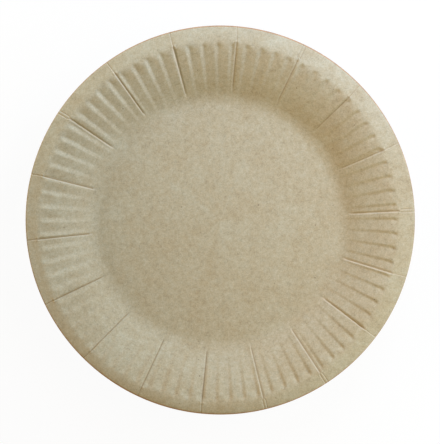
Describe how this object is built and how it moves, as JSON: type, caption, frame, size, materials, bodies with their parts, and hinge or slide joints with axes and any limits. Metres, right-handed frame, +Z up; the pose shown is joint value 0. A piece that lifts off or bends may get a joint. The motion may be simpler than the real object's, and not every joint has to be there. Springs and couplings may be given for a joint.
{
  "type": "paper plate",
  "caption": "Round disposable plate pressed from one sheet of kraft board, with a flat base, a creased and fluted wall and a smooth rim.",
  "frame": {"origin": "on the table the plate stands on, under the middle of its round cut edge", "axes": "+Z up, square to the base; X and Y in the table's plane, with +Y towards the top of the picture"},
  "size_m": [0.18, 0.18, 0.015],
  "materials": {
    "kraft_board": "matte, uncoated"
  },
  "bodies": {
    "root": {"plate": "kraft_board"}
  },
  "joints": []
}
